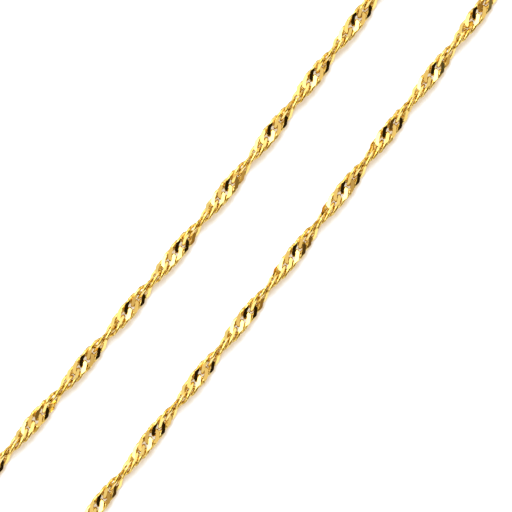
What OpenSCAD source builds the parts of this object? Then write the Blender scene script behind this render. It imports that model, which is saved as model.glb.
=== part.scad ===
// Fine gold necklace: one long twisted curb chain, closed by a small spring ring clasp.
// It lies flat on a table as a long narrow loop, with the clasp at the +Y end.
// Origin: middle of the loop's outline, on the table. Z points up. Millimetres.

/* [Necklace] */
// Length of the closed necklace, along the middle of the chain and through the clasp
necklace_length = 457; // [450:1:500]
// Distance between the two strands where they run side by side
strand_gap = 8.8; // [8:0.1:10]
// How far both strands bow to the +X side where they run side by side
strand_bow = 0.7; // [0:0.1:1.5]

/* [Chain] */
// Width of the twisted chain, from one side of a link to the other
band_width = 1.5; // [1.3:0.05:1.6]
// Thickness of the chain across the faces of its links
band_thickness = 0.62; // [0.5:0.02:0.7]
// Usual length of half a turn of the chain's twist
half_twist = 7.15; // [6.8:0.05:7.5]
// Thickness of the wire of the two end links
link_wire = 0.32; // [0.26:0.02:0.34]
// Length of the straight sides of the two end links
link_side = 0.9; // [0.8:0.1:1.2]

/* [Rings] */
// Thickness of the wire of the jump ring and the closing ring
ring_wire = 0.45; // [0.35:0.05:0.45]
// Outer diameter of the jump ring between the chain and the clasp's eyelet
jump_ring_diameter = 3; // [2.9:0.1:3.2]
// Outer diameter of the closing ring that the clasp hooks round
closing_ring_diameter = 3.8; // [3.8:0.1:4.2]
// How far the two rings lean back from upright, in degrees
ring_lean = 20; // [15:1:22]

/* [Clasp] */
// Outer diameter of the clasp
clasp_diameter = 5.5; // [5.5:0.1:6.5]
// Thickness of the clasp's tube
clasp_tube = 1.1; // [0.9:0.05:1.1]
// Outer diameter of the clasp's eyelet
eyelet_diameter = 2.4; // [2.4:0.1:2.8]
// Thickness of the eyelet's wire
eyelet_wire = 0.5; // [0.4:0.05:0.5]
// Diameter of the thumb knob on the clasp
knob_diameter = 0.8; // [0.6:0.1:1]
// How far the clasp leans towards its lower edge as it lies on the rings, in degrees
clasp_lean = 14; // [14:0.5:15]

/* [Hidden] */
gold = [0.93, 0.72, 0.24];
pale_gold = [0.95, 0.77, 0.34];
$fn = 48;

// Heights: the chain's middle line, where its edge touches the table at each half turn,
// and the clasp, which is propped on the two rings
edge_height = 0.24;
chain_z = norm([band_width, edge_height]) / 2;
clasp_z = 1.12;
table_gap = 0.01;

// Sizes of the rings' middle circles
jump_radius = (jump_ring_diameter - ring_wire) / 2;
closing_radius = (closing_ring_diameter - ring_wire) / 2;
clasp_radius = (clasp_diameter - clasp_tube) / 2;
eyelet_radius = (eyelet_diameter - eyelet_wire) / 2;

// The closing line along X, from the clasp's middle: eyelet, rings, end links, chain ends
weld = 0.35;
eyelet_play = 0.1;
closing_play = 0.35;
jump_reach = 0.95;
closing_reach = 0.9;
function ring_z(radius) = radius * cos(ring_lean) + ring_wire / 2 + table_gap;
function half_chord(radius, z) = sqrt(radius ^ 2 - ((z - ring_z(radius)) / cos(ring_lean)) ^ 2);
eyelet_at = -(clasp_radius + clasp_tube / 2 + eyelet_radius - weld);
jump_at = eyelet_at - eyelet_play - half_chord(jump_radius, clasp_z);
closing_at = clasp_radius + closing_play;
link_length = band_width / 2 + link_side;
left_end = jump_at - half_chord(jump_radius, chain_z) + jump_reach - link_length;
right_end = closing_at + half_chord(closing_radius, chain_z) - closing_reach + link_length;
end_x = (right_end - left_end) / 2;
clasp_x = -(right_end + left_end) / 2;

// How each leg of the chain lies on the table, from its end at the clasp to the loop's foot
end_straight = 0.5;
shoulder_radius = 4;
shoulder_angle = 25;
neck_radius = 20;
straight_run = 28;
spread_run = 42;
spread_angle = 1.5;
flare_radius = 110;
flare_angle = 25;
shoulder_drop = (end_x + end_straight + shoulder_radius * cos(shoulder_angle)
    - neck_radius * (1 - cos(shoulder_angle)) - strand_gap / 2) / sin(shoulder_angle);
function arc_length(radius, angle) = radius * angle * PI / 180;

// Columns: length of the stretch, and its turn to the left in degrees, on the left leg
upper_leg = [
    [end_straight, 0],
    [arc_length(shoulder_radius, 90 + shoulder_angle), 90 + shoulder_angle],
    [shoulder_drop, 0],
    [arc_length(neck_radius, shoulder_angle), -shoulder_angle],
    [straight_run, 0],
    [spread_run, -spread_angle],
    [arc_length(flare_radius, flare_angle - spread_angle), spread_angle - flare_angle],
];

// A place on the table is [x, y, heading in degrees]; this is the far end of a stretch
function stretch_end(from, length, turn) = let (radius = length / max(abs(turn), 1e-6) * 180 / PI,
        side = sign(turn))
    turn == 0
    ? [from.x + length * cos(from.z), from.y + length * sin(from.z), from.z]
    : [from.x + side * radius * (sin(from.z + turn) - sin(from.z)),
        from.y + side * radius * (cos(from.z) - cos(from.z + turn)), from.z + turn];
function walk(leg, s, from, row = 0) = s <= leg[row][0] || row == len(leg) - 1
    ? stretch_end(from, s, leg[row][1] * s / leg[row][0])
    : walk(leg, s - leg[row][0], stretch_end(from, leg[row][0], leg[row][1]), row + 1);
function total(rows, i = 0) = i == len(rows) ? 0 : rows[i][0] + total(rows, i + 1);

// The last straight and the round foot take up the rest of the necklace's length
leg_length = necklace_length / 2 - end_x;
upper_length = total(upper_leg);
leg_start = [-end_x, 0, 180];
flare_end = walk(upper_leg, upper_length, leg_start);
foot_angle = 90 + flare_angle;
foot_share = arc_length(1, foot_angle);
foot_straight = (leg_length - upper_length + foot_share * flare_end.x / cos(flare_angle))
    / (1 + foot_share * tan(flare_angle));
foot_radius = (foot_straight * sin(flare_angle) - flare_end.x) / cos(flare_angle);
leg = concat(upper_leg, [[foot_straight, 0], [arc_length(foot_radius, foot_angle), foot_angle]]);

// The loop's outline reaches from the clasp's upper edge to the foot's lower edge
leg_drop = -walk(leg, leg_length, leg_start).y;
rise_to_end = (clasp_z - chain_z) * tan(ring_lean);
clasp_top = clasp_radius * cos(clasp_lean) + clasp_tube / 2 - rise_to_end;
end_y = (leg_drop + band_width / 2 - clasp_top) / 2;
clasp_y = end_y - rise_to_end;

// The strands' bow fades out either side of its middle
waist_y = end_y + walk(leg, total([for (i = [0:3]) leg[i]]), leg_start).y;
bow_y = waist_y - 37;
bow_reach = 55;
function bow(y) = abs(y - bow_y) < bow_reach
    ? strand_bow * (1 + cos(180 * (y - bow_y) / bow_reach)) / 2
    : 0;

// A place on the whole chain, s along it from its left end
chain_length = 2 * leg_length;
function on_leg(s) = walk(leg, s, leg_start) + [0, end_y, 0];
function spot(s) = let (left = s <= leg_length,
        p = on_leg(left ? s : chain_length - s))
    left
    ? [p.x + bow(p.y), p.y, p.z]
    : [bow(p.y) - p.x, p.y, -p.z];

// Distances from each end of the chain to the places where it stands on edge
left_necks = [45.3, 51.7, 58.4, 65.8, 73.4, 79.8];
right_necks = [44.8, 51.6, 59.0, 66.7, 74.3, 80.7, 89.3];

// The twist, counted in half turns: whole numbers lie flat, and halves stand on edge
end_twist = -ring_lean / 180;
first_neck = round(left_necks[0] / half_twist + end_twist - 0.5) + 0.5;
last_left = first_neck + len(left_necks) - 1;
hidden_run = chain_length - right_necks[len(right_necks) - 1] - left_necks[len(left_necks) - 1];
first_right = last_left + round(hidden_run / half_twist);
last_right = first_right + len(right_necks) - 1;
closing_twist = last_right + 0.5 + round(right_necks[0] / half_twist - 0.5) + end_twist;

// Columns: distance along the chain, and half turns up to there
twist_table = concat(
    [[0, end_twist]],
    [for (i = [0:len(left_necks) - 1]) [left_necks[i], first_neck + i]],
    [for (i = [0:len(right_necks) - 1]) let (k = len(right_necks) - 1 - i)
        [chain_length - right_necks[k], first_right + i]],
    [[chain_length, closing_twist]]
);
function twist(s) = 180 * lookup(s, twist_table);

// Section of the chain, right round: flat faces with narrow blunt edges
edge_slope = 0.2;
face_half = band_width / 2 - edge_slope;
section = [
    [band_width / 2, -edge_height / 2], [band_width / 2, edge_height / 2],
    [face_half, band_thickness / 2], [-face_half, band_thickness / 2],
    [-band_width / 2, edge_height / 2], [-band_width / 2, -edge_height / 2],
    [-face_half, -band_thickness / 2], [face_half, -band_thickness / 2]
];
ring_step = 1;
chain_rings = ceil(chain_length / ring_step);

// One ring of the chain's surface: its width turns from the left of the route to upright
function chain_ring(s) = let (p = spot(s), a = twist(s), left = [-sin(p.z), cos(p.z), 0],
        across = left * cos(a) + [0, 0, sin(a)],
        through = [0, 0, cos(a)] - left * sin(a))
    [for (q = section) [p.x, p.y, chain_z] + across * q.x + through * q.y];

module chain() {
    sides = len(section);
    points = [for (i = [0:chain_rings]) each chain_ring(chain_length * i / chain_rings)];
    walls = [for (i = [0:chain_rings - 1], j = [0:sides - 1])
        let (k = (j + 1) % sides, a = i * sides, b = a + sides)
        each [[a + j, b + j, a + k], [b + j, b + k, a + k]]];
    start_face = [for (j = [0:sides - 1]) j];
    end_face = [for (j = [sides - 1:-1:0]) chain_rings * sides + j];
    color(gold)
        polyhedron(points, concat([start_face], walls, [end_face]), convexity = 20);
}

module ring(radius, wire) {
    rotate_extrude()
        translate([radius, 0])
            circle(d = wire);
}

// A bow of wire, open towards +X, whose two sides end on the chain's end face
module end_link(x, turn) {
    bow_radius = (band_width - link_wire) / 2;
    color(gold)
        translate([x, end_y, chain_z])
            rotate([ring_lean, 0, 0])
                rotate([0, 0, turn])
                    translate([-link_side, 0, 0]) {
                        rotate([0, 0, 90])
                            rotate_extrude(angle = 180)
                                translate([bow_radius, 0])
                                    circle(d = link_wire);
                        for (side = [-1, 1])
                            translate([0, side * bow_radius, 0])
                                rotate([0, 90, 0])
                                    cylinder(d = link_wire, h = link_side);
                    }
}

module end_link_left() {
    end_link(-end_x, 180);
}

module end_link_right() {
    end_link(end_x, 0);
}

// A ring that stands on the table, leans back and passes the clasp's line at its height
module leaning_ring(x, radius) {
    z = ring_z(radius);
    color(pale_gold)
        translate([clasp_x + x, clasp_y + (clasp_z - z) * tan(ring_lean), z])
            rotate([90 + ring_lean, 0, 0])
                ring(radius, ring_wire);
}

module jump_ring() {
    leaning_ring(jump_at, jump_radius);
}

module closing_ring() {
    leaning_ring(closing_at, closing_radius);
}

module clasp() {
    knob_angle = 125;
    color(pale_gold)
        translate([clasp_x, clasp_y, clasp_z])
            rotate([clasp_lean, 0, 0]) {
                ring(clasp_radius, clasp_tube);
                translate([eyelet_at, 0, 0])
                    ring(eyelet_radius, eyelet_wire);
                rotate([0, 0, knob_angle])
                    translate([clasp_radius, 0, clasp_tube / 2])
                        sphere(d = knob_diameter);
            }
}

chain();
end_link_left();
end_link_right();
jump_ring();
closing_ring();
clasp();
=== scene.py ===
"""A fine gold necklace of twisted, diamond-cut curb chain, lying on a white table.

The frame gives the loop, its end links, two rings and a clasp. This script dresses them:
the chain as some 470 real links, and the rings and clasp as polished findings. Units are metres.
"""
import math

import bmesh
import bpy
from mathutils import Euler, Matrix, Vector


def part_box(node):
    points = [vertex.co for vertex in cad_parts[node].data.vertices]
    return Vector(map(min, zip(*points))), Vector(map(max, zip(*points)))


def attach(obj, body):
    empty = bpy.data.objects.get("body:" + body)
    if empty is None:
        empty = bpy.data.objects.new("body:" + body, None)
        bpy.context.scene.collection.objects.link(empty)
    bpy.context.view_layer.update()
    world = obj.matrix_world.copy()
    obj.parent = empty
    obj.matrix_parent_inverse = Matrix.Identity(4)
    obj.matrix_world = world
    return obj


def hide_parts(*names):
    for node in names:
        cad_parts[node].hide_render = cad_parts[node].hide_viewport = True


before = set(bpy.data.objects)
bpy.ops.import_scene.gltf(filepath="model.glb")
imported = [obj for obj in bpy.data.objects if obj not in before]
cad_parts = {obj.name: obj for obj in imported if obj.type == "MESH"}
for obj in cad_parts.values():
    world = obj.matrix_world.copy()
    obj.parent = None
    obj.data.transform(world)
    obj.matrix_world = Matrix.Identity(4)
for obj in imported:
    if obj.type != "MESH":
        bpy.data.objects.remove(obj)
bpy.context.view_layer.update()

# The chain
# A diamond-cut curb chain, double linked: each link is an oval of gold wire that passes through
# the next two. It was twisted after linking, and its faces were ground flat on both sides, which
# leaves a bright facet on two shoulders of each link, above and below.

mm = 0.001
necklace_length = 457 * mm
strand_gap = 8.8 * mm
strand_bow = 0.7 * mm
half_twist = 7.15 * mm
ring_lean = math.radians(20)

link_pitch = 0.94 * mm
link_width = 1.6 * mm
link_slack = 0.07 * mm
link_own_twist = math.radians(29)
link_fullness = 3.0
link_roundness = 1.3
link_segments = 12
wire_width = 0.4 * mm
wire_depth = 0.34 * mm
wire_sides = 6
facet_lean = math.radians(5)
facet_rise = math.radians(5)
facet_height = 0.26 * mm

end_low, end_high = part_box("end_link_left")
end_x = -end_low.x
end_y = (end_low.y + end_high.y) / 2
end_link_tip = end_high.x + end_x
chain_z = (end_low.z + end_high.z) / 2

end_straight = 0.5 * mm
shoulder_radius, shoulder_angle = 4 * mm, 25
neck_radius = 20 * mm
neck_straight = 28 * mm
strand_length, spread_angle = 42 * mm, 1.5
flare_radius, flare_angle = 110 * mm, 25
shoulder_drop = (end_x + end_straight + shoulder_radius * math.cos(math.radians(shoulder_angle))
                 - neck_radius * (1 - math.cos(math.radians(shoulder_angle)))
                 - strand_gap / 2) / math.sin(math.radians(shoulder_angle))


def arc_length(radius, angle):
    return radius * math.radians(angle)


# The upper part of one side of the loop, down from the chain's left end: columns are the length
# of a stretch, and its turn to the left in degrees
upper_leg = [
    (end_straight, 0),
    (arc_length(shoulder_radius, 90 + shoulder_angle), 90 + shoulder_angle),
    (shoulder_drop, 0),
    (arc_length(neck_radius, shoulder_angle), -shoulder_angle),
    (neck_straight, 0),
    (strand_length, -spread_angle),
    (arc_length(flare_radius, flare_angle - spread_angle), spread_angle - flare_angle),
]


def stretch_end(start, length, turn):
    """The far end of a stretch: x, y and heading in degrees."""
    x, y, heading = start
    a, b = math.radians(heading), math.radians(heading + turn)
    if turn == 0:
        return x + length * math.cos(a), y + length * math.sin(a), heading
    radius = length / math.radians(turn)
    return (x + radius * (math.sin(b) - math.sin(a)),
            y + radius * (math.cos(a) - math.cos(b)), heading + turn)


def walk(leg, s):
    """The place a distance s along a leg that starts at the left end of the chain."""
    place = (-end_x, end_y, 180)
    for length, turn in leg[:-1]:
        if s <= length:
            return stretch_end(place, s, turn * s / length)
        place = stretch_end(place, length, turn)
        s -= length
    length, turn = leg[-1]
    return stretch_end(place, s, turn * s / length)


# The foot of the loop: a straight stretch and an arc that bring each side to the middle
leg_length = necklace_length / 2 - end_x
upper_length = sum(length for length, turn in upper_leg)
flare_end_x = walk(upper_leg, upper_length)[0]
flare = math.radians(flare_angle)
foot_turn = math.radians(90 + flare_angle)
foot_straight = ((leg_length - upper_length + foot_turn * flare_end_x / math.cos(flare))
                 / (1 + foot_turn * math.tan(flare)))
foot_radius = (foot_straight * math.sin(flare) - flare_end_x) / math.cos(flare)
whole_leg = upper_leg + [(foot_straight, 0), (foot_radius * foot_turn, 90 + flare_angle)]
chain_length = 2 * leg_length

waist_y = walk(whole_leg, sum(length for length, turn in upper_leg[:4]))[1]
bow_y = waist_y - 37 * mm
bow_reach = 55 * mm


def spot(s):
    """The place a distance s along the whole chain, from its left end to its right one."""
    left = s <= leg_length
    x, y, heading = walk(whole_leg, s if left else chain_length - s)
    bow = 0
    if abs(y - bow_y) < bow_reach:
        bow = strand_bow * (1 + math.cos(math.pi * (y - bow_y) / bow_reach)) / 2
    return (x + bow, y, heading) if left else (bow - x, y, -heading)


# Distances from each end of the chain to the places where it stands on edge
left_necks = [n * mm for n in (45.3, 51.7, 58.4, 65.8, 73.4, 79.8)]
right_necks = [n * mm for n in (44.8, 51.6, 59.0, 66.7, 74.3, 80.7, 89.3)]
end_twist = -math.degrees(ring_lean) / 180
first_neck = round(left_necks[0] / half_twist + end_twist - 0.5) + 0.5
last_left = first_neck + len(left_necks) - 1
first_right = last_left + round((chain_length - right_necks[-1] - left_necks[-1]) / half_twist)
last_right = first_right + len(right_necks) - 1
closing_twist = last_right + 0.5 + round(right_necks[0] / half_twist - 0.5) + end_twist

# The twist: columns are the distance along the chain, and the half turns up to there
twist_table = [(0, end_twist)]
twist_table += [(s, first_neck + i) for i, s in enumerate(left_necks)]
twist_table += [(chain_length - s, first_right + i) for i, s in enumerate(reversed(right_necks))]
twist_table += [(chain_length, closing_twist)]


def twist(s):
    """The turn of the chain about its own line, in radians, a distance s along it."""
    s = min(max(s, 0), chain_length)
    for (s0, turns0), (s1, turns1) in zip(twist_table, twist_table[1:]):
        if s <= s1:
            return math.pi * (turns0 + (turns1 - turns0) * (s - s0) / (s1 - s0))


# The wire's inner and outer sides and, most of all, the links' ends are painted darker: painted
# shade where the neighbouring links cover them, and also gold that the polish misses
end_shade = 1.5
# The wire's direction is taken over a short way on both sides, in radians round the oval
direction_step = 0.15


def link_mesh():
    """One link, long along X, twisted like a curb link and ground flat on four shoulders."""
    half_long = link_pitch + wire_width / 2 + link_slack
    half_wide = (link_width - wire_width) / 2

    def middle(t):
        x = half_long * math.cos(t)
        y = half_wide * (1 - abs(math.cos(t)) ** link_fullness) ** (1 / link_roundness)
        place = Vector((x, math.copysign(y, math.sin(t)), 0))
        return Euler((-link_own_twist * math.cos(t), 0, 0)).to_matrix() @ place

    form = bmesh.new()
    painted_shade = form.verts.layers.float.new("painted_shade")
    rings = []
    for i in range(link_segments):
        t = math.tau * i / link_segments
        at = middle(t)
        along = (middle(t + direction_step) - middle(t - direction_step)).normalized()
        up = Euler((-link_own_twist * at.x / half_long, 0, 0)).to_matrix() @ Vector((0, 0, 1))
        out = along.cross(up).normalized()
        up = out.cross(along)
        ring = []
        for k in range(wire_sides):
            a = math.tau * k / wire_sides
            ring.append(form.verts.new(at + wire_width / 2 * math.cos(a) * out
                                       + wire_depth / 2 * math.sin(a) * up))
            # How much painted shade a place gets: most on the wire's sides and at the link's ends
            ring[-1][painted_shade] = max(math.cos(a) ** 2, end_shade * math.cos(t) ** 6)
        rings.append(ring)
    for i, ring in enumerate(rings):
        following = rings[(i + 1) % link_segments]
        for k in range(wire_sides):
            n = (k + 1) % wire_sides
            form.faces.new((ring[k], ring[n], following[n], following[k])).smooth = True
    bmesh.ops.recalc_face_normals(form, faces=form.faces)
    cut = form.faces.layers.float.new("facet")
    for face_up in (1, -1):
        for side in (1, -1):
            normal = Vector((-face_up * side * math.sin(facet_rise), side * math.sin(facet_lean),
                             face_up * math.cos(facet_lean))).normalized()
            everything = form.verts[:] + form.edges[:] + form.faces[:]
            sliced = bmesh.ops.bisect_plane(form, geom=everything, plane_co=normal * facet_height,
                                            plane_no=normal, clear_outer=True)
            rim = [e for e in sliced["geom_cut"] if isinstance(e, bmesh.types.BMEdge)]
            for face in bmesh.ops.holes_fill(form, edges=rim, sides=0)["faces"]:
                face.smooth = False
                face[cut] = 1
    bmesh.ops.recalc_face_normals(form, faces=form.faces)
    mesh = bpy.data.meshes.new("curb_link")
    form.to_mesh(mesh)
    form.free()
    return mesh


def rescale(tree, source, low, high, source_low=0, source_high=1):
    """Adds a node that brings a value's range to another one, and gives its result."""
    node = tree.nodes.new("ShaderNodeMapRange")
    node.inputs["From Min"].default_value = source_low
    node.inputs["From Max"].default_value = source_high
    node.inputs["To Min"].default_value = low
    node.inputs["To Max"].default_value = high
    tree.links.new(source, node.inputs["Value"])
    return node.outputs["Result"]


def gold_grain():
    """The fine unevenness of all the gold here, as a mask and as shallow dents."""
    group = bpy.data.node_groups.new("gold grain", "ShaderNodeTree")
    sockets = group.interface
    for name in ("Scale", "Detail", "Strength", "Depth"):
        sockets.new_socket(name, in_out="INPUT", socket_type="NodeSocketFloat")
    sockets.new_socket("Mask", in_out="OUTPUT", socket_type="NodeSocketFloat")
    sockets.new_socket("Normal", in_out="OUTPUT", socket_type="NodeSocketVector")
    nodes, links = group.nodes, group.links
    given, made = nodes.new("NodeGroupInput"), nodes.new("NodeGroupOutput")
    place = nodes.new("ShaderNodeTexCoord")
    noise = nodes.new("ShaderNodeTexNoise")
    links.new(place.outputs["Object"], noise.inputs["Vector"])
    links.new(given.outputs["Scale"], noise.inputs["Scale"])
    links.new(given.outputs["Detail"], noise.inputs["Detail"])
    links.new(noise.outputs["Fac"], made.inputs["Mask"])
    dents = nodes.new("ShaderNodeBump")
    links.new(given.outputs["Strength"], dents.inputs["Strength"])
    links.new(given.outputs["Depth"], dents.inputs["Distance"])
    links.new(noise.outputs["Fac"], dents.inputs["Height"])
    links.new(dents.outputs["Normal"], made.inputs["Normal"])
    return group


grain_group = gold_grain()


def place_grain(material, scale, detail, strength, depth):
    """Puts the gold grain into a material with its own values, and dents its surface with it."""
    grain = material.node_tree.nodes.new("ShaderNodeGroup")
    grain.node_tree = grain_group
    values = {"Scale": scale, "Detail": detail, "Strength": strength, "Depth": depth}
    for name, value in values.items():
        grain.inputs[name].default_value = value
    metal = material.node_tree.nodes["Principled BSDF"]
    material.node_tree.links.new(grain.outputs["Normal"], metal.inputs["Normal"])
    return grain


polished_gold = (0.97, 0.7, 0.21, 1)
# The darker gold is painted shade between the links, and the colour of the wire's dark specks
shaded_speckled_gold = (0.6, 0.36, 0.045, 1)
facet_roughness, wire_roughness = 0.04, 0.22
painted_shade_depth = 0.6
speck_low, speck_high = -0.55, 0.75


def chain_gold():
    """Bright yellow gold: mirror facets, drawn wire with some grain, and painted shade on the
    wire's sides and the links' ends.
    """
    material = bpy.data.materials.new("chain gold")
    material.use_nodes = True
    tree = material.node_tree
    nodes, links = tree.nodes, tree.links
    metal = nodes["Principled BSDF"]
    metal.inputs["Metallic"].default_value = 1
    facet = nodes.new("ShaderNodeAttribute")
    facet.attribute_name = "facet"
    shine = rescale(tree, facet.outputs["Fac"], wire_roughness, facet_roughness)
    links.new(shine, metal.inputs["Roughness"])
    grain = place_grain(material, scale=4000, detail=1, strength=1, depth=0.025 * mm)
    drawn = rescale(tree, facet.outputs["Fac"], 1, 0)
    links.new(drawn, grain.inputs["Strength"])
    # Painted shade: the wire's sides and the links' ends turn towards the darker gold, with
    # random specks
    painted_shade = nodes.new("ShaderNodeAttribute")
    painted_shade.attribute_name = "painted_shade"
    speck = rescale(tree, grain.outputs["Mask"], speck_low, speck_high,
                    source_low=0.4, source_high=0.6)
    shade_and_specks = nodes.new("ShaderNodeMath")
    shade_and_specks.operation = "MULTIPLY_ADD"
    links.new(painted_shade.outputs["Fac"], shade_and_specks.inputs[0])
    shade_and_specks.inputs[1].default_value = painted_shade_depth
    links.new(speck, shade_and_specks.inputs[2])
    wire_shade_and_specks = nodes.new("ShaderNodeMath")
    wire_shade_and_specks.operation = "MULTIPLY"
    wire_shade_and_specks.use_clamp = True
    links.new(shade_and_specks.outputs["Value"], wire_shade_and_specks.inputs[0])
    links.new(drawn, wire_shade_and_specks.inputs[1])
    tint = nodes.new("ShaderNodeMix")
    tint.data_type = "RGBA"
    tint.inputs["A"].default_value = polished_gold
    tint.inputs["B"].default_value = shaded_speckled_gold
    links.new(wire_shade_and_specks.outputs["Value"], tint.inputs["Factor"])
    links.new(tint.outputs["Result"], metal.inputs["Base Color"])
    return material


# Each link lies a little loose: it rolls by up to the play, and turns by less the other ways
link_play = math.radians(4)
other_play = 0.35


def chain_tree():
    """Puts a link on each point of the route, turned as the chain is twisted."""
    tree = bpy.data.node_groups.new("curb chain", "GeometryNodeTree")
    sockets = tree.interface
    sockets.new_socket("Route", in_out="INPUT", socket_type="NodeSocketGeometry")
    sockets.new_socket("Link", in_out="INPUT", socket_type="NodeSocketObject")
    sockets.new_socket("Play", in_out="INPUT", socket_type="NodeSocketFloat")
    sockets.new_socket("Gold", in_out="INPUT", socket_type="NodeSocketMaterial")
    sockets.new_socket("Chain", in_out="OUTPUT", socket_type="NodeSocketGeometry")
    nodes, links = tree.nodes, tree.links
    given, made = nodes.new("NodeGroupInput"), nodes.new("NodeGroupOutput")
    turn = nodes.new("GeometryNodeInputNamedAttribute")
    turn.data_type = "FLOAT_VECTOR"
    turn.inputs["Name"].default_value = "turn"
    loose = nodes.new("FunctionNodeRandomValue")
    loose.data_type = "FLOAT_VECTOR"
    loose.inputs["Min"].default_value = (-1, -other_play, -other_play)
    loose.inputs["Max"].default_value = (1, other_play, other_play)
    loose.inputs["Seed"].default_value = 7
    play = nodes.new("ShaderNodeVectorMath")
    play.operation = "SCALE"
    links.new(loose.outputs["Value"], play.inputs[0])
    links.new(given.outputs["Play"], play.inputs["Scale"])
    pose = nodes.new("FunctionNodeEulerToRotation")
    links.new(turn.outputs["Attribute"], pose.inputs["Euler"])
    wobble = nodes.new("FunctionNodeEulerToRotation")
    links.new(play.outputs["Vector"], wobble.inputs["Euler"])
    turned = nodes.new("FunctionNodeRotateRotation")
    turned.rotation_space = "LOCAL"
    links.new(pose.outputs["Rotation"], turned.inputs["Rotation"])
    links.new(wobble.outputs["Rotation"], turned.inputs["Rotate By"])
    link = nodes.new("GeometryNodeObjectInfo")
    links.new(given.outputs["Link"], link.inputs["Object"])
    place = nodes.new("GeometryNodeInstanceOnPoints")
    links.new(given.outputs["Route"], place.inputs["Points"])
    links.new(link.outputs["Geometry"], place.inputs["Instance"])
    links.new(turned.outputs["Rotation"], place.inputs["Rotation"])
    real = nodes.new("GeometryNodeRealizeInstances")
    links.new(place.outputs["Instances"], real.inputs["Geometry"])
    paint = nodes.new("GeometryNodeSetMaterial")
    links.new(real.outputs["Geometry"], paint.inputs["Geometry"])
    links.new(given.outputs["Gold"], paint.inputs["Material"])
    links.new(paint.outputs["Geometry"], made.inputs["Chain"])
    return tree


# The last link at each end is joined to one neighbour only, which leaves room for its ring
rest_lift = 0.04 * mm
end_link_reach = 0.07 * mm
end_link_spacing = 1.81 * mm
tip = end_link_tip - (link_pitch + wire_width + link_slack) + end_link_reach
first = tip - end_link_spacing
run = chain_length + 2 * first
spaces = round(run / link_pitch)
stations = [-tip]
stations += [-first + run * i / spaces for i in range(spaces + 1)]
stations += [chain_length + tip]

route = bpy.data.meshes.new("chain_route")
places = [spot(s) for s in stations]
route.from_pydata([(x, y, chain_z + rest_lift) for x, y, heading in places], [], [])
turns = route.attributes.new("turn", "FLOAT_VECTOR", "POINT")
for i, (s, (x, y, heading)) in enumerate(zip(stations, places)):
    turns.data[i].vector = (twist(s), 0, math.radians(heading))
link = bpy.data.objects.new("curb_link", link_mesh())
chain = bpy.data.objects.new("chain_route", route)
bpy.context.scene.collection.objects.link(chain)
grow = chain.modifiers.new("links", "NODES")
grow.node_group = chain_tree()
chain_inputs = {"Link": link, "Play": link_play, "Gold": chain_gold()}
for item in grow.node_group.interface.items_tree:
    if item.name in chain_inputs:
        grow[item.identifier] = chain_inputs[item.name]
links_made = bpy.data.meshes.new_from_object(
    chain.evaluated_get(bpy.context.evaluated_depsgraph_get()))
chain_links = bpy.data.objects.new("chain_links", links_made)
bpy.context.scene.collection.objects.link(chain_links)
bpy.data.objects.remove(chain)
bpy.data.objects.remove(link)
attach(chain_links, "root")
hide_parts("chain", "end_link_left", "end_link_right")

# The rings
# Two plain rings of round gold wire, each bent round and soldered shut. The small one joins the
# chain's left end to the clasp's eyelet, and the clasp hooks round the larger one.

ring_wire = 0.45 * mm
ring_segments, ring_sides = 64, 20
solder_height = 0.02 * mm
solder_reach = 0.16 * mm


def leaning_frame(x, y, z, lean):
    """A frame at a place, turned about X so that its Z axis is an upright ring's own axis."""
    return Matrix.Translation((x, y, z)) @ Euler((lean, 0, 0)).to_matrix().to_4x4()


def bend_tube(form, pose, radius, rows, sides, closed):
    """A round tube bent about the pose's Z axis; rows are its turn in radians and its radius."""
    rings = []
    for turn, tube in rows:
        out = Vector((math.cos(turn), math.sin(turn), 0))
        rings.append([form.verts.new(pose @ (out * (radius + tube * math.cos(a))
                                             + Vector((0, 0, tube * math.sin(a)))))
                      for a in (math.tau * k / sides for k in range(sides))])
    for ring, following in zip(rings, rings[1:] + rings[:1] if closed else rings[1:]):
        for k in range(sides):
            n = (k + 1) % sides
            form.faces.new((ring[k], following[k], following[n], ring[n])).smooth = True
    if not closed:
        form.faces.new(rings[0][::-1])
        form.faces.new(rings[-1])


findings_colour = (0.84, 0.62, 0.22, 1)
findings_roughness_low, findings_roughness_high = 0.07, 0.16


def findings_gold():
    """Polished yellow gold, a little uneven as a small worn finding is."""
    material = bpy.data.materials.new("findings gold")
    material.use_nodes = True
    tree = material.node_tree
    metal = tree.nodes["Principled BSDF"]
    metal.inputs["Metallic"].default_value = 1
    metal.inputs["Base Color"].default_value = findings_colour
    grain = place_grain(material, scale=1500, detail=3, strength=0.25, depth=0.02 * mm)
    shine = rescale(tree, grain.outputs["Mask"], findings_roughness_low, findings_roughness_high)
    tree.links.new(shine, metal.inputs["Roughness"])
    return material


def finish_piece(name, form, gold, node):
    """Makes a finding's object and puts it in place of its CAD node."""
    bmesh.ops.recalc_face_normals(form, faces=form.faces)
    piece = bpy.data.objects.new(name, bpy.data.meshes.new(name))
    form.to_mesh(piece.data)
    form.free()
    piece.data.materials.append(gold)
    bpy.context.scene.collection.objects.link(piece)
    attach(piece, "root")
    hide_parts(node)


# Each ring with the place of its solder joint, in degrees round it
gold = findings_gold()
for name, joint_at in (("jump_ring", 250), ("closing_ring", 70)):
    low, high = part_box(name)
    centre = (low + high) / 2
    radius = (high.x - low.x - ring_wire) / 2
    rows = []
    for i in range(ring_segments):
        turn = math.tau * i / ring_segments
        off_joint = math.remainder(turn - math.radians(joint_at), math.tau) * radius
        solder = solder_height * math.exp(-(off_joint / solder_reach) ** 2)
        rows.append((turn, ring_wire / 2 + solder))
    ring_form = bmesh.new()
    bend_tube(ring_form, leaning_frame(centre.x, centre.y, centre.z, math.pi / 2 + ring_lean),
              radius, rows, ring_sides, True)
    finish_piece(name + "_wire", ring_form, gold, name)

# The clasp
# A spring ring: a hollow gold tube bent into a ring, with a plain bolt that closes its gap, the
# thumb knob that draws the bolt back along a slot, and a small eyelet soldered on. It is one
# plain piece here, and lies a little aslant.

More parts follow.
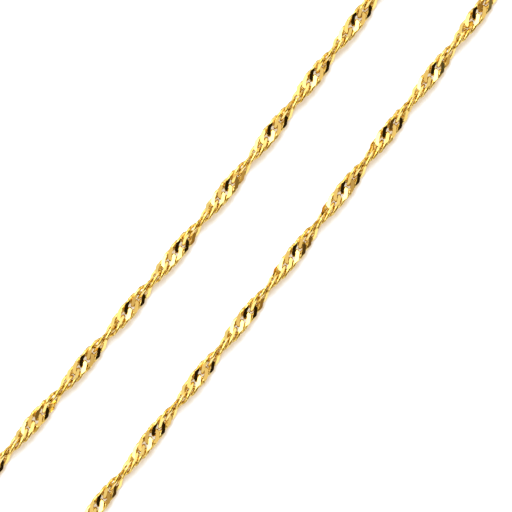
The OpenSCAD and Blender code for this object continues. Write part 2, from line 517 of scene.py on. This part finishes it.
clasp_tube = 1.1 * mm
clasp_radius = 2.2 * mm
clasp_lean = math.radians(14)
tube_steps, tube_sides = 72, 28
gap_from, gap_to = math.radians(-22), math.radians(34)
mouth_length = 0.12 * mm
mouth_depth = 0.08 * mm
bolt_radius = 0.42 * mm
bolt_overlap = 0.1
bolt_steps, bolt_sides = 20, 24
eyelet_wire = 0.5 * mm
eyelet_radius = 0.95 * mm
eyelet_steps, eyelet_sides = 48, 16
knob_turn = math.radians(125)
knob_radius = 0.4 * mm

low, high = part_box("clasp")
clasp_x = high.x - clasp_radius - clasp_tube / 2
clasp_z = low.z + clasp_radius * math.sin(clasp_lean) + clasp_tube / 2
clasp_pose = leaning_frame(clasp_x, (low.y + high.y) / 2, clasp_z, clasp_lean)
clasp_form = bmesh.new()

# The tube's two ends are rounded in: rows are the turn past an end and the tube's radius there
mouth_turn = mouth_length / clasp_radius
mouth = [(mouth_turn * (1 - math.cos(a)), clasp_tube / 2 - mouth_depth * (1 - math.sin(a)))
         for a in (math.radians(k) for k in (0, 30, 60, 90))]
even_turn = math.tau - (gap_to - gap_from) - 2 * mouth_turn
tube_rows = [(gap_to + turn, tube) for turn, tube in mouth]
tube_rows += [(gap_to + mouth_turn + even_turn * i / tube_steps, clasp_tube / 2)
              for i in range(1, tube_steps)]
tube_rows += [(gap_from + math.tau - turn, tube) for turn, tube in reversed(mouth)]
bend_tube(clasp_form, clasp_pose, clasp_radius, tube_rows, tube_sides, False)

bolt_turn = gap_to - gap_from + 2 * bolt_overlap
bolt_rows = [(gap_from - bolt_overlap + bolt_turn * i / bolt_steps, bolt_radius)
             for i in range(bolt_steps + 1)]
bend_tube(clasp_form, clasp_pose, clasp_radius, bolt_rows, bolt_sides, False)

eyelet_x = low.x + eyelet_wire / 2 + eyelet_radius - clasp_x
eyelet_pose = clasp_pose @ Matrix.Translation((eyelet_x, 0, 0))
eyelet_rows = [(math.tau * i / eyelet_steps, eyelet_wire / 2) for i in range(eyelet_steps)]
bend_tube(clasp_form, eyelet_pose, eyelet_radius, eyelet_rows, eyelet_sides, True)

knob_at = clasp_pose @ Vector((clasp_radius * math.cos(knob_turn),
                               clasp_radius * math.sin(knob_turn), clasp_tube / 2))
bmesh.ops.create_uvsphere(clasp_form, u_segments=24, v_segments=14, radius=knob_radius,
                          matrix=Matrix.Translation(knob_at))

# All is smooth but the flat ends of the tube and the bolt, which have many corners
for face in clasp_form.faces:
    face.smooth = len(face.verts) < bolt_sides
finish_piece("clasp_ring", clasp_form, gold, "clasp")

# The table and the light
# A white table in a bright studio. The chain mirrors a soft key light on the loop's -X side, even
# light from above, and a dark side towards +X. The lamp overhead lights only the table. The table
# also glows though it is no lamp: painted warm light, standing in for the light the gold throws
# on it, that keeps the shadows pale and warm. Glow and bluish colour add up to white in the
# light.

table_reach = 3
table_colour = (0.25, 0.34, 0.44, 1)
# Painted light: the table's warm glow, which lifts and warms the shadows round the chain
table_painted_glow = (0.61, 0.435, 0.245, 1)

table = bpy.data.objects.new("table", bpy.data.meshes.new("table"))
table.data.from_pydata([(-table_reach, -table_reach, 0), (table_reach, -table_reach, 0),
                        (table_reach, table_reach, 0), (-table_reach, table_reach, 0)],
                       [], [(0, 1, 2, 3)])
bpy.context.scene.collection.objects.link(table)
white = bpy.data.materials.new("white table")
white.use_nodes = True
surface = white.node_tree.nodes["Principled BSDF"]
surface.inputs["Base Color"].default_value = table_colour
surface.inputs["Roughness"].default_value = 1
surface.inputs["Specular IOR Level"].default_value = 0
surface.inputs["Emission Color"].default_value = table_painted_glow
surface.inputs["Emission Strength"].default_value = 1
table.data.materials.append(white)

overhead = bpy.data.objects.new("overhead", bpy.data.lights.new("overhead", "SUN"))
overhead.data.energy = 5
overhead.data.angle = math.radians(30)
overhead.rotation_euler = (0, math.radians(-20), 0)
overhead.visible_glossy = False
bpy.context.scene.collection.objects.link(overhead)

# The dome by its angle about the Y axis: degrees from the zenith towards +X, level and warmth.
# A warm light has less green and blue, and the dome is even and white towards its +Y and -Y ends
dome_top = 8
dome_levels = [(-90, 0.9, 0), (-74, 0.92, 0), (-66, 1.2, 0), (-60, 3.6, 0), (-23, 3.6, 0),
               (-15, 1.3, 0.1), (-6, 0.93, 0.2), (12, 0.88, 0.3), (18, 0.4, 0.8), (25, 0.02, 1),
               (66, 0.02, 1), (75, 0.4, 1), (82, 0.85, 0.3), (90, 0.92, 0)]
warm_green_loss, warm_blue_loss = 0.35, 0.7
dome_end_level = 0.95
fade_from, fade_to = 0.3, 0.5

world = bpy.data.worlds.new("studio")
bpy.context.scene.world = world
world.use_nodes = True
sky_tree = world.node_tree
sky_nodes, sky_links = sky_tree.nodes, sky_tree.links
sky = sky_nodes["Background"]
direction = sky_nodes.new("ShaderNodeTexCoord")
parts = sky_nodes.new("ShaderNodeSeparateXYZ")
sky_links.new(direction.outputs["Generated"], parts.inputs["Vector"])
tilt = sky_nodes.new("ShaderNodeMath")
tilt.operation = "ARCTAN2"
sky_links.new(parts.outputs["X"], tilt.inputs[0])
sky_links.new(parts.outputs["Z"], tilt.inputs[1])
across = rescale(sky_tree, tilt.outputs["Value"], 0, 1, -math.pi / 2, math.pi / 2)
levels = sky_nodes.new("ShaderNodeValToRGB")
sky_links.new(across, levels.inputs["Fac"])
stops = levels.color_ramp.elements
last = len(dome_levels) - 1
for i, (angle, level, warmth) in enumerate(dome_levels):
    place = (angle + 90) / 180
    if i in (0, last):
        stop = stops[0 if i == 0 else len(stops) - 1]
    else:
        stop = stops.new(place)
    stop.position = place
    level /= dome_top
    stop.color = (level, level * (1 - warm_green_loss * warmth),
                  level * (1 - warm_blue_loss * warmth), 1)
side = sky_nodes.new("ShaderNodeMath")
side.operation = "ABSOLUTE"
sky_links.new(parts.outputs["Y"], side.inputs[0])
fade = rescale(sky_tree, side.outputs["Value"], 0, 1, fade_from, fade_to)
dome = sky_nodes.new("ShaderNodeMix")
dome.data_type = "RGBA"
sky_links.new(fade, dome.inputs["Factor"])
sky_links.new(levels.outputs["Color"], dome.inputs["A"])
end_level = dome_end_level / dome_top
dome.inputs["B"].default_value = (end_level, end_level, end_level, 1)
sky_links.new(dome.outputs["Result"], sky.inputs["Color"])
sky.inputs["Strength"].default_value = dome_top

# The camera
# It looks straight down on the two strands from afar, through a long lens, and is turned so that
# they cross the picture.

view_x, view_y = 2.36 * mm, waist_y - 40 * mm
picture_width = 48.6 * mm
picture_turn = math.radians(38.1)
camera = bpy.data.objects.new("camera", bpy.data.cameras.new("camera"))
camera.data.lens = 150
camera.data.sensor_width = 36
camera.data.clip_start = 0.01
distance = picture_width * camera.data.lens / camera.data.sensor_width
camera.location = (view_x, view_y, chain_z + distance)
camera.rotation_euler = (0, 0, picture_turn)
bpy.context.scene.collection.objects.link(camera)
bpy.context.scene.camera = camera
bpy.context.scene.view_settings.view_transform = "Standard"
